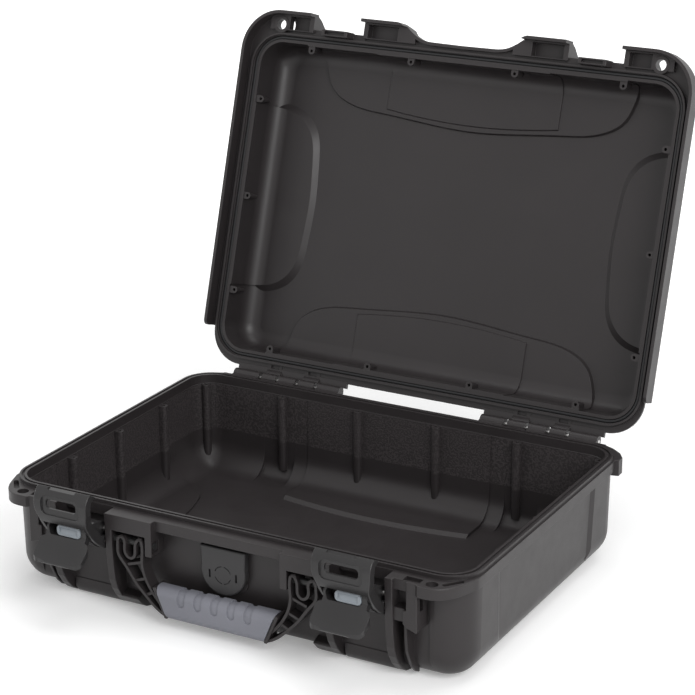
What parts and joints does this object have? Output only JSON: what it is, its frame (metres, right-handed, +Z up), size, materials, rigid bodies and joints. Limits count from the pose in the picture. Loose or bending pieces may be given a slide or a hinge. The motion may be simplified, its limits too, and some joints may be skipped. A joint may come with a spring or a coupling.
{
  "type": "laptop hard case",
  "caption": "Moulded hard case for a laptop: hinged lid with a seal, draw latches with slide locks, a folding padded handle and a pressure valve.",
  "frame": {"origin": "centre of the base, left to right and front to back, on the plane that its four foot pads stand on", "axes": "+X to the right as the user faces the latches, +Y towards the hinges, +Z up"},
  "size_m": [0.459, 0.5228, 0.4285],
  "materials": {
    "shell": "satin, fine moulded grain",
    "latch": "satin",
    "cover": "matt",
    "lock": "satin",
    "grip": "soft, matt",
    "seal": "matt",
    "steel": "drawn rod",
    "dark_pin": "black coating",
    "membrane": "matt"
  },
  "bodies": {
    "base": {"base_shell": "shell", "hinge_pin_left": "steel", "hinge_pin_right": "steel", "latch_base_pin_left": "steel", "latch_base_pin_right": "steel", "handle_pin_left": "dark_pin", "handle_pin_right": "dark_pin", "valve_cover": "cover", "valve_body": "cover", "valve_membrane": "membrane", "valve_seal": "seal", "valve_nut": "cover"},
    "lid": {"lid_shell": "shell", "lid_gasket": "seal"},
    "handle": {"handle_frame": "shell", "handle_grip": "grip"},
    "latch_left": {"latch_lever_left": "latch", "latch_claw_pin_left": "steel"},
    "claw_left": {"latch_claw_left": "latch"},
    "lock_left": {"latch_lock_left": "lock"},
    "latch_right": {"latch_lever_right": "latch", "latch_claw_pin_right": "steel"},
    "claw_right": {"latch_claw_right": "latch"},
    "lock_right": {"latch_lock_right": "lock"}
  },
  "joints": [
    {"name": "lid_hinge", "type": "hinge", "parent": "base", "child": "lid", "pos_m": [0, 0.1725, 0.0917], "axis": [1, 0, 0], "range_deg": [0, 107.4]},
    {"name": "handle_hinge", "type": "hinge", "parent": "base", "child": "handle", "pos_m": [0, -0.1655, 0.07], "axis": [-1, 0, 0], "range_deg": [0, 100]},
    {"name": "lever_left", "type": "hinge", "parent": "base", "child": "latch_left", "pos_m": [-0.1316, -0.165, 0.076], "axis": [1, 0, 0], "range_deg": [-70, 20]},
    {"name": "claw_left_pivot", "type": "hinge", "parent": "latch_left", "child": "claw_left", "pos_m": [-0.1316, -0.169, 0.066], "axis": [-1, 0, 0], "range_deg": [0, 47]},
    {"name": "lock_left_slide", "type": "slide", "parent": "latch_left", "child": "lock_left", "axis": [1, 0, 0], "range_m": [-0.008, 0]},
    {"name": "lever_right", "type": "hinge", "parent": "base", "child": "latch_right", "pos_m": [0.1316, -0.165, 0.076], "axis": [1, 0, 0], "range_deg": [-70, 20]},
    {"name": "claw_right_pivot", "type": "hinge", "parent": "latch_right", "child": "claw_right", "pos_m": [0.1316, -0.169, 0.066], "axis": [-1, 0, 0], "range_deg": [0, 47]},
    {"name": "lock_right_slide", "type": "slide", "parent": "latch_right", "child": "lock_right", "axis": [1, 0, 0], "range_m": [-0.008, 0]}
  ]
}
